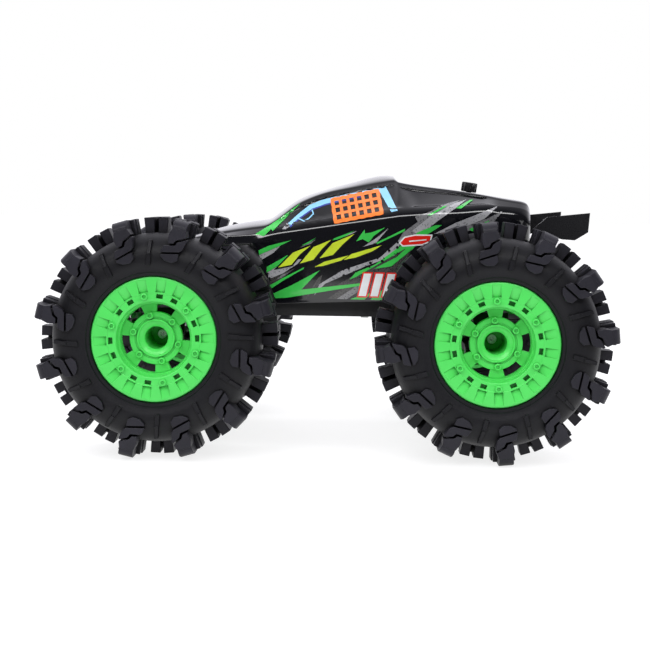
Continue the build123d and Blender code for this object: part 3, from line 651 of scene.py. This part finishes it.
def build_shell():
    fixed = sorted([s[0] for s in STATIONS] + list(SHARP_X))
    even = [fixed[0] + COLUMN_STEP * i for i in range(int((fixed[-1] - fixed[0]) / COLUMN_STEP))]
    xs = sorted(fixed + [x for x in even if min(abs(x - f) for f in fixed) > 1.4])
    rows = [section(x) for x in xs]
    n = len(rows[0])
    parts = Parts()
    verts = []
    for x, row in zip(xs, rows):
        verts += [(x, y, z) for y, z in row]
        verts += [(x, -y, z) for y, z in row[1:]]
    width = 2 * n - 1

    def idx(i, j):
        return i * width + (j if j >= 0 else n - 1 - j)
    faces = []
    for i in range(len(xs) - 1):
        for j in range(n - 1):
            faces.append((idx(i, j), idx(i, j + 1), idx(i + 1, j + 1), idx(i + 1, j)))
            faces.append((idx(i, -j), idx(i + 1, -j), idx(i + 1, -j - 1), idx(i, -j - 1)))
    for i in (0, len(xs) - 1):
        for j in range(n - 1):
            quad = (idx(i, j), idx(i, -j), idx(i, -j - 1), idx(i, j + 1))
            faces.append(quad if j else (idx(i, 0), idx(i, -1), idx(i, 1)))
    parts.add(verts, faces)
    mesh = parts.mesh("body_skin")
    obj = new_object("body_skin", mesh, "gloss_body", "shell")
    crease = mesh.attributes.new("crease_edge", "FLOAT", "EDGE")
    hard = {4: 0.4, 6: 0.5, 7: 0.5, 9: 0.5, 10: 0.5, 12: 0.1, n - 1: 1.0}
    level = {}
    for i in range(len(xs)):
        for j in hard:
            soft = 1.0 - 0.75 * ramp(xs[i], 110.0, 120.0) * (j < n - 1)
            level[idx(i, j)] = hard[j] * soft
            level[idx(i, -j)] = hard[j] * soft
    for edge in mesh.edges:
        a, b = edge.vertices
        if a // width != b // width and a in level and b in level:
            crease.data[edge.index].value = level[a]
        rows_down = [v % width if v % width < n else v % width - n + 1 for v in (a, b)]
        if a // width == b // width and xs[a // width] in CAB_END and max(rows_down) <= 10:
            crease.data[edge.index].value = 0.6
        if a // width == b // width and a // width in (0, len(xs) - 1):
            crease.data[edge.index].value = 0.5 if a < width else 0.2
    sub = obj.modifiers.new("skin", "SUBSURF")
    sub.levels = sub.render_levels = 2
    return obj


def applied(obj):
    """Bake the modifiers into the mesh."""
    graph = bpy.context.evaluated_depsgraph_get()
    mesh = bpy.data.meshes.new_from_object(obj.evaluated_get(graph))
    obj.modifiers.clear()
    obj.data = mesh
    return obj


for wheel in WHEELS:
    tyre(*wheel[:4])
    rim(wheel[0], wheel[1], wheel[2], wheel[4])

skin = build_shell()
bpy.context.view_layer.update()
applied(skin)
tree = BVHTree.FromPolygons([v.co for v in skin.data.vertices], [p.vertices for p in skin.data.polygons])
thick = skin.modifiers.new("wall", "SOLIDIFY")
thick.thickness = 1.3 * MM
thick.offset = -1.0
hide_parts("body_shell")


# ---------------------------------------------------------------- printed graphics
def graphic(name, outline, material, lift=0.12, sides=(-1, 1), step=1.6, holes=()):
    """Flat outline in (x, z) millimetres, laid on the side of the shell."""
    for side in sides:
        bm = bmesh.new()
        loop = [bm.verts.new((x * MM, 0.0, z * MM)) for x, z in outline]
        rings = [loop] + [[bm.verts.new((x * MM, 0.0, z * MM)) for x, z in hole] for hole in holes]
        for ring in rings:
            for a, b in zip(ring, ring[1:] + ring[:1]):
                bm.edges.new((a, b))
        bmesh.ops.triangle_fill(bm, edges=list(bm.edges), use_beauty=True, normal=(0, 1, 0))
        low_x, high_x = min(p[0] for p in outline), max(p[0] for p in outline)
        low_z, high_z = min(p[1] for p in outline), max(p[1] for p in outline)
        for axis, low, high in ((Vector((1, 0, 0)), low_x, high_x), (Vector((0, 0, 1)), low_z, high_z)):
            cut = low + step
            while cut < high:
                geom = list(bm.verts) + list(bm.edges) + list(bm.faces)
                bmesh.ops.bisect_plane(bm, geom=geom, plane_co=axis * cut * MM, plane_no=axis)
                cut += step
        gone = []
        for vert in bm.verts:
            start = Vector((vert.co.x, side * 0.2, vert.co.z))
            hit, normal, _, _ = tree.ray_cast(start, Vector((0, -side, 0)))
            if hit is None:
                gone.append(vert)
                continue
            if normal.y * side < 0:
                normal = -normal
            vert.co = hit + normal * lift * MM
        bmesh.ops.delete(bm, geom=gone, context="VERTS")
        far = [f for f in bm.faces if max(e.calc_length() for e in f.edges) > 4.5 * step * MM]
        bmesh.ops.delete(bm, geom=far, context="FACES")
        bmesh.ops.recalc_face_normals(bm, faces=bm.faces)
        for face in bm.faces:
            face.smooth = True
            if face.normal.y * side < 0:
                face.normal_flip()
        mesh = bpy.data.meshes.new(name)
        bm.to_mesh(mesh)
        bm.free()
        tag = name + ("_left" if side < 0 else "_right")
        new_object(tag, mesh, material, "shell")


def grown(outline, by):
    """The outline pushed out by a distance, for an edge of another colour."""
    n = len(outline)
    area = sum(outline[i][0] * outline[(i + 1) % n][1] - outline[(i + 1) % n][0] * outline[i][1]
               for i in range(n))
    turn = 1 if area > 0 else -1
    result = []
    for i in range(n):
        p, q, s = Vector(outline[i - 1]), Vector(outline[i]), Vector(outline[(i + 1) % n])
        d0, d1 = (q - p).normalized(), (s - q).normalized()
        n0, n1 = Vector((d0.y, -d0.x)) * turn, Vector((d1.y, -d1.x)) * turn
        mean = n0 + n1
        mean = mean.normalized() if mean.length > 0.2 else n0
        reach = by / max(0.35, mean.dot(n0))
        result.append((q.x + mean.x * reach, q.y + mean.y * reach))
    return result


GRAPHICS = (
    # name, material, lift, outline
    ("door_band_a", "green_print", 0.35, ((-50.2, 136.6), (-42.7, 140.0), (-26.7, 144.2), (-34.8, 140.1),
                                          (-49.8, 133.4))),
    ("door_band_a_low", "light_grey", 0.26, ((-49.6, 133.2), (-34.8, 139.9), (-39.3, 135.1), (-48.3, 129.6))),
    ("door_band_b", "green_print", 0.35, ((-45.8, 123.9), (-29.8, 133.3), (-27.5, 134.0), (-28.8, 130.6),
                                          (-44.7, 120.5))),
    ("door_band_b_low", "light_grey", 0.26,
     ((-44.6, 120.3), (-28.8, 130.4), (-17.0, 131.0), (-32.6, 120.5), (-43.4, 115.9))),
    ("door_band_c", "dark_grey", 0.08, ((-43.2, 115.6), (-33.0, 120.2), (-24.0, 124.4), (-32.6, 117.2),
                                        (-41.6, 111.9))),
    ("door_band_c_light", "mid_grey", 0.17, ((-37.5, 116.0), (-33.0, 119.8), (-28.0, 121.4), (-34.0, 116.9))),
    ("door_line", "green_solid", 0.44, ((-41.7, 111.8), (-32.6, 117.2), (-17.5, 125.2), (-17.9, 124.0),
                                        (-32.5, 115.2),
                                        (-40.5, 109.6))),
    ("door_swoosh", "green_solid", 0.44, ((-39.3, 106.0), (-25.9, 112.4), (-6.1, 123.4), (-19.3, 109.2),
                                          (6.8, 112.6),
                                          (25.5, 115.0), (25.5, 113.4), (-6.2, 107.5), (-29.1, 103.2),
                                          (-38.0, 102.6))),
    ("door_shard_a", "dark_grey", 0.08, ((-16.6, 101.8), (-7.6, 117.6), (-4.4, 120.0), (-6.4, 113.9),
                                         (-11.8, 108.0))),
    ("door_sweep", "light_grey", 0.26, ((-10.1, 105.4), (-6.3, 113.4), (9.9, 123.6), (36.0, 133.0),
                                        (52.0, 148.0),
                                        (46.4, 134.9), (25.0, 126.3), (-2.4, 113.8))),
    ("door_sweep_dark", "dark_grey", 0.08,
     ((-2.0, 113.8), (6.0, 113.0), (27.0, 125.8), (46.4, 134.9), (60.0, 146.0),
                                            (52.0, 121.0), (32.0, 110.0), (12.0, 110.5))),
    ("door_green_rear", "green_print", 0.35,
     ((14.8, 117.0), (19.1, 122.3), (32.1, 127.7), (60.0, 149.0), (62.5, 145.0),
                                              (32.8, 127.1), (19.2, 119.0))),
    ("door_green_rear_b", "green_solid", 0.44, ((31.8, 125.0), (48.0, 133.8), (58.5, 144.0), (57.0, 138.0),
                                                (44.0, 127.0))),
    ("low_dark", "dark_grey", 0.08, ((-0.8, 103.0), (14.0, 113.5), (21.2, 113.8), (6.4, 103.0))),
    ("low_light", "mid_grey", 0.17, ((6.0, 103.0), (20.8, 113.4), (24.2, 110.8), (13.0, 103.0))),
    ("low_green", "green_solid", 0.44, ((15.4, 103.0), (20.7, 105.2), (32.0, 108.4), (25.4, 103.0))),
    ("low_green_b", "green_solid", 0.44, ((30.0, 103.0), (33.0, 107.5), (44.5, 113.0), (41.0, 103.0))),
    ("top_jag", "green_print", 0.35, ((19.1, 144.2), (25.0, 152.8), (25.2, 149.8), (29.8, 150.6),
                                      (39.5, 154.4),
                                      (31.2, 148.0), (28.0, 143.6), (23.6, 145.8))),
    ("top_spike", "light_grey", 0.26, ((24.0, 140.4), (33.4, 146.8), (41.8, 153.9), (33.0, 143.2))),
    ("top_line", "green_print", 0.35, ((33.2, 143.4), (53.0, 153.6), (53.0, 152.0), (33.8, 142.4))),
    ("top_scratch_a", "mid_grey", 0.17, ((-21.0, 139.0), (-9.5, 145.0), (-13.0, 141.8))),
    ("top_scratch_b", "green_solid", 0.44, ((-19.5, 140.6), (-9.4, 146.2), (-15.0, 141.9))),
    ("top_scratch_c", "green_solid", 0.44, ((-1.0, 144.2), (17.6, 151.6), (8.0, 145.5))),
    ("top_scratch_d", "light_grey", 0.26, ((2.0, 144.8), (19.5, 151.6), (12.0, 146.3))),
    ("quarter_grey", "mid_grey", 0.17, ((46.0, 141.0), (52.0, 151.0), (62.0, 158.5), (60.0, 162.0),
                                        (70.0, 165.4),
                                        (80.0, 171.0), (92.0, 174.0), (74.0, 160.5), (58.0, 146.0))),
    ("quarter_light", "light_grey", 0.26, ((58.0, 152.0), (70.0, 162.0), (86.0, 171.0), (97.0, 174.6),
                                           (76.0, 159.5),
                                           (64.0, 149.0))),
    ("quarter_green", "green_print", 0.35,
     ((50.0, 140.0), (62.0, 151.2), (74.5, 156.4), (79.0, 156.6), (67.0, 148.5),
                                            (58.0, 138.5))),
    ("quarter_green_thin", "green_solid", 0.44, ((68.5, 163.0), (80.0, 169.4), (82.5, 169.8), (71.5, 163.2))),
    ("quarter_tip_green", "green_solid", 0.44, ((88.5, 168.2), (99.0, 174.0), (101.5, 174.2), (92.0, 168.0))),
    ("quarter_spike", "light_grey", 0.26, ((73.5, 150.2), (88.0, 158.0), (118.0, 170.4), (108.0, 161.0),
                                           (88.0, 152.8))),
    ("quarter_spike_edge", "mid_grey", 0.17, ((76.0, 150.0), (88.0, 152.8), (110.0, 161.4), (121.0, 166.8),
                                              (114.0, 158.0), (94.0, 151.5))),
    ("quarter_far", "green_print", 0.35, ((98.0, 154.0), (112.0, 160.4), (110.0, 156.0), (100.0, 152.6))),
    ("quarter_far_grey", "light_grey", 0.26,
     ((101.0, 152.4), (110.0, 156.0), (116.0, 157.0), (112.0, 152.4))),
    ("pillar_wedge", "green_print", 0.35, ((-53.0, 147.6), (-46.5, 146.6), (-41.4, 151.6), (-40.2, 150.2),
                                           (-21.1, 170.2), (-29.7, 163.6), (-42.3, 154.4))),
)
for name, material, lift, outline in GRAPHICS:
    graphic(name, outline, material, lift)

# abstract claw slashes where the door carries its title, and slanted bars low at the rear
CLAWS = (
    ((-36.0, 124.6), (-25.5, 135.4), (-13.0, 140.6), (-20.5, 134.4), (-26.5, 126.8)),
    ((-20.5, 127.8), (-11.0, 139.6), (1.5, 145.0), (-5.0, 138.4), (-11.0, 130.6)),
    ((-6.5, 131.8), (2.5, 142.6), (17.8, 149.4), (10.0, 142.2), (3.0, 134.4)),
    ((-10.0, 125.6), (-3.0, 129.4), (14.0, 134.2), (9.0, 130.6), (-4.0, 126.4)),
    ((10.5, 130.9), (16.0, 135.2), (37.0, 141.8), (31.0, 137.6), (19.0, 132.8)),
)
for i, claw in enumerate(CLAWS):
    graphic("claw_edge_%d" % i, grown(claw, 1.2), "ink_black", 0.53)
    graphic("claw_%d" % i, claw, "lime", 0.62)
BARS = (
    ((21.4, 105.6), (26.6, 105.6), (30.2, 121.6), (25.0, 121.6)),
    ((29.8, 105.6), (35.0, 105.6), (38.6, 121.6), (33.4, 121.6)),
    ((38.2, 105.6), (43.4, 105.6), (47.0, 121.6), (41.8, 121.6)),
)
for i, bar in enumerate(BARS):
    graphic("bar_edge_%d" % i, grown(bar, 1.0), "red", 0.62)
    graphic("bar_%d" % i, bar, "white", 0.70)
graphic("badge_edge", ((49.0, 143.6), (52.6, 148.0), (60.0, 149.8), (72.6, 149.8), (71.6, 145.0),
                       (66.0, 142.2), (51.5, 141.0)),
        "white", 0.55)
graphic("badge", ((50.2, 143.6), (53.2, 147.2), (60.0, 148.8), (71.4, 148.9), (70.6, 145.4), (65.4, 143.2),
                  (52.0, 142.0)),
        "red", 0.63)
graphic("badge_line", ((56.0, 145.2), (68.5, 146.6), (68.3, 145.8), (56.4, 144.4)), "white", 0.70)

# splatter dots along the light sweep
for i in range(26):
    t = i / 25.0
    across = 3.6 * sin(5.1 * i)
    cx = 6.0 + 44.0 * t - 0.5 * across
    cz = 121.0 + 20.0 * t ** 1.2 + 0.85 * across
    r = 0.32 + 0.75 * abs(sin(2.3 * i)) ** 2
    ring = [(cx + r * cos(2 * pi * k / 9), cz + r * sin(2 * pi * k / 9)) for k in range(9)]
    graphic("splat_%02d" % i, ring, "ink_black", 0.5)

# side windows
graphic("window_pane", ((-37.5, 151.4), (-30.5, 158.5), (-22.0, 166.5), (-13.5, 171.8), (-2.0, 175.4),
                        (12.0, 178.4),
                        (41.0, 184.6), (48.0, 165.6), (20.0, 159.6), (-10.0, 154.0), (-30.0, 151.0)),
        "window", 0.06)
BLUE_TOP = ((-29.5, 155.9), (-22.2, 162.8), (-14.8, 168.9), (-7.0, 172.4), (0.8, 174.6), (20.0, 178.9),
            (39.6, 183.2))
BLUE_LOW = ((-28.4, 153.8), (-21.8, 159.8), (-12.4, 166.6), (-3.0, 170.1), (8.0, 172.9), (22.0, 176.2),
            (35.4, 179.4))
graphic("window_band", BLUE_TOP + tuple(reversed(BLUE_LOW)), "sky_blue", 0.2)
graphic("window_line", BLUE_LOW[:6] + tuple((x + 0.5, z - 0.9) for x, z in reversed(BLUE_LOW[:6])),
        "deep_blue", 0.14)
graphic("window_strip", ((35.2, 179.4), (39.6, 183.2), (48.0, 166.0), (43.4, 165.0)), "sky_blue", 0.18)
graphic("window_tip", ((-33.5, 151.8), (-30.4, 156.1), (-28.4, 153.7), (-30.8, 151.7)), "light_grey", 0.17)
MIRROR = ((-22.2, 159.4), (-18.2, 157.6), (-14.7, 159.7), (-11.6, 162.9), (-12.8, 165.8))
for i, (p, q) in enumerate(zip(MIRROR, MIRROR[1:])):
    d = Vector((q[0] - p[0], q[1] - p[1])).normalized() * 0.42
    graphic("mirror_line_%d" % i, ((p[0] - d.y, p[1] + d.x), (q[0] - d.y, q[1] + d.x),
                                   (q[0] + d.y, q[1] - d.x),
                                   (p[0] + d.y, p[1] - d.x)), "sky_blue", 0.2)

NET = ((0.3, 173.6), (34.6, 181.0), (38.0, 163.4), (3.6, 156.2))


def in_net(u, v):
    top = Vector(NET[0]).lerp(Vector(NET[1]), u)
    low = Vector(NET[3]).lerp(Vector(NET[2]), u)
    p = top.lerp(low, v)
    return (p.x, p.y)


cells = []
for i in range(6):
    for j in range(3):
        u, v = (i + 0.72) / 6.45, (j + 0.75) / 3.5
        cells.append([in_net(u - 0.046, v - 0.088), in_net(u + 0.046, v - 0.088),
                      in_net(u + 0.046, v + 0.088),
                      in_net(u - 0.046, v + 0.088)])
edge = []
for (u0, v0), (u1, v1), count in (((0, 0), (1, 0), 12), ((1, 0), (1, 1), 6), ((1, 1), (0, 1), 12),
                                  ((0, 1), (0, 0), 6)):
    for k in range(count):
        t = k / count
        out = 0.012 if k % 2 else 0.0
        u, v = u0 + (u1 - u0) * t, v0 + (v1 - v0) * t
        edge.append(in_net(u + (out if u > 0.5 else -out) * (v0 != v1),
                           v + (out * 2 if v > 0.5 else -out * 2) * (v0 == v1)))
graphic("window_net", edge, "orange", 0.45, holes=cells)

# ---------------------------------------------------------------- carried-over CAD pieces
SLOT_OF = {item["node"]: item["material_slot"] for item in frame["record"]["subparts"]}
for name, obj in frame["nodes"].items():
    slot_name = SLOT_OF.get(name)
    if slot_name not in MATS:
        continue
    obj.data.materials.clear()
    obj.data.materials.append(MATS[slot_name])
    if not name.startswith(("tyre", "rim", "body_shell", "shock_spring")):
        bevel(obj, 0.25 if name.startswith(("stub", "wheel_screw", "servo_horn", "knuckle", "tie")) else 0.4,
              2, 40)


def thumb_knob():
    """Lobed thumb knob on the deck, leaning with it."""
    tilt = Matrix.Rotation(radians(7.9), 3, "Y")
    parts = Parts()
    rings = ((0.0, 4.6), (0.5, 5.1), (6.4, 5.1), (6.9, 4.6), (6.9, 2.4), (5.6, 2.2), (5.6, 0.1))
    count = 72
    verts, faces = [], []
    for i in range(count):
        a = 2 * pi * i / count
        for h, r in rings:
            lobe = r + (0.85 * max(-0.6, cos(8 * a)) - 0.2 if r > 4 else 0.0)
            p = tilt @ Vector((lobe * cos(a), lobe * sin(a), h + 0.2))
            verts.append((102.0 + p.x, p.y, 180.3 + p.z))
    m = len(rings)
    for i in range(count):
        j = (i + 1) % count
        faces += [(i * m + k, j * m + k, j * m + k + 1, i * m + k + 1) for k in range(m - 1)]
    parts.add(verts, faces)
    knob = new_object("knob_grip", parts.mesh("knob_grip"), "black_plastic", "knob")
    sharp_shade(knob, 40)
    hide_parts("thumb_knob")
    return knob


thumb_knob()


# ---------------------------------------------------------------- stage, light, camera
def floor_material():
    """Bright studio floor: pale, faintly mottled, lit from within so that only soft shadows stay."""
    n = Nodes("floor")
    cloud = n.noise(6.0, 2.0)
    n.link(n.ramp(cloud, [(0.3, (0.270, 0.270, 0.275)), (0.7, (0.285, 0.285, 0.290))]),
           n.bsdf.inputs["Base Color"])
    n.set(Roughness=0.6, Emission_Color=(1.0, 1.0, 1.0, 1.0), Emission_Strength=0.80)
    return n.mat


MATS["floor"] = floor_material()
floor_mesh = bpy.data.meshes.new("floor")
floor_mesh.from_pydata([(-7, -0.62, 0), (7, -0.62, 0), (7, 12, 0), (-7, 12, 0)], [], [(0, 1, 2, 3)])
floor = bpy.data.objects.new("floor", floor_mesh)
bpy.context.collection.objects.link(floor)
floor_mesh.materials.append(MATS["floor"])


def area_light(name, place, target, size, power, glossy=False, colour=(1, 1, 1)):
    data = bpy.data.lights.new(name, "AREA")
    data.shape = "RECTANGLE"
    data.size, data.size_y = size
    data.energy = power
    data.color = colour
    obj = bpy.data.objects.new(name, data)
    bpy.context.collection.objects.link(obj)
    obj.location = place
    obj.rotation_euler = (Vector(target) - Vector(place)).to_track_quat("-Z", "Y").to_euler()
    obj.visible_glossy = glossy
    obj.visible_diffuse = not glossy
    return obj


area_light("key", (-0.9, -1.3, 1.35), (0, 0, 0.08), (1.5, 1.1), 25.0)
area_light("fill", (1.0, -1.3, 1.2), (0, 0, 0.08), (1.5, 1.1), 19.0)
area_light("top", (0.0, 0.15, 1.5), (0, 0, 0.1), (1.6, 0.35), 9.0)
area_light("strip", (-0.2, -1.5, 1.30), (0, 0, 0.1), (2.6, 0.30), 22.0, True)

world = bpy.data.worlds.new("studio")
bpy.context.scene.world = world
world.use_nodes = True
wt = world.node_tree
back = wt.nodes["Background"]
coord = wt.nodes.new("ShaderNodeTexCoord")
lean = wt.nodes.new("ShaderNodeVectorMath")
lean.operation = "DOT_PRODUCT"
lean.inputs[1].default_value = (0.0, 0.75, 0.65)
wt.links.new(coord.outputs["Generated"], lean.inputs[0])
room = wt.nodes.new("ShaderNodeValToRGB")
room.color_ramp.elements[0].position = 0.05
room.color_ramp.elements[0].color = (0.055, 0.055, 0.060, 1)
room.color_ramp.elements[1].position = 0.75
room.color_ramp.elements[1].color = (0.98, 0.97, 1.04, 1)
wt.links.new(lean.outputs["Value"], room.inputs["Fac"])
wt.links.new(room.outputs["Color"], back.inputs["Color"])
back.inputs["Strength"].default_value = 1.0
seen = wt.nodes.new("ShaderNodeBackground")
seen.inputs["Color"].default_value = (1, 1, 1, 1)
seen.inputs["Strength"].default_value = 1.0
path = wt.nodes.new("ShaderNodeLightPath")
mix = wt.nodes.new("ShaderNodeMixShader")
wt.links.new(path.outputs["Is Camera Ray"], mix.inputs[0])
wt.links.new(back.outputs[0], mix.inputs[1])
wt.links.new(seen.outputs[0], mix.inputs[2])
wt.links.new(mix.outputs[0], wt.nodes["World Output"].inputs["Surface"])

# camera fitted to the rims, hubs and tyre outlines of the photograph: radians, metres, millimetres
YAW, PITCH, ROLL = -0.0217, 0.0865, 0.0144
CAMERA_PLACE = (0.01973, -1.06603, 0.17163)
FOCAL_LENGTH = 78.73
forward = Vector((sin(YAW) * cos(PITCH), cos(YAW) * cos(PITCH), -sin(PITCH)))
right = Vector((cos(YAW), -sin(YAW), 0.0))
up = right.cross(forward)
right, up = right * cos(ROLL) + up * sin(ROLL), up * cos(ROLL) - right * sin(ROLL)
camera_data = bpy.data.cameras.new("camera")
camera_data.lens = FOCAL_LENGTH
camera_data.sensor_width = 36.0
camera = bpy.data.objects.new("camera", camera_data)
bpy.context.collection.objects.link(camera)
camera.matrix_world = Matrix((
    (right.x, up.x, -forward.x, CAMERA_PLACE[0]),
    (right.y, up.y, -forward.y, CAMERA_PLACE[1]),
    (right.z, up.z, -forward.z, CAMERA_PLACE[2]),
    (0, 0, 0, 1),
))
bpy.context.scene.camera = camera
bpy.context.scene.view_settings.view_transform = "Standard"
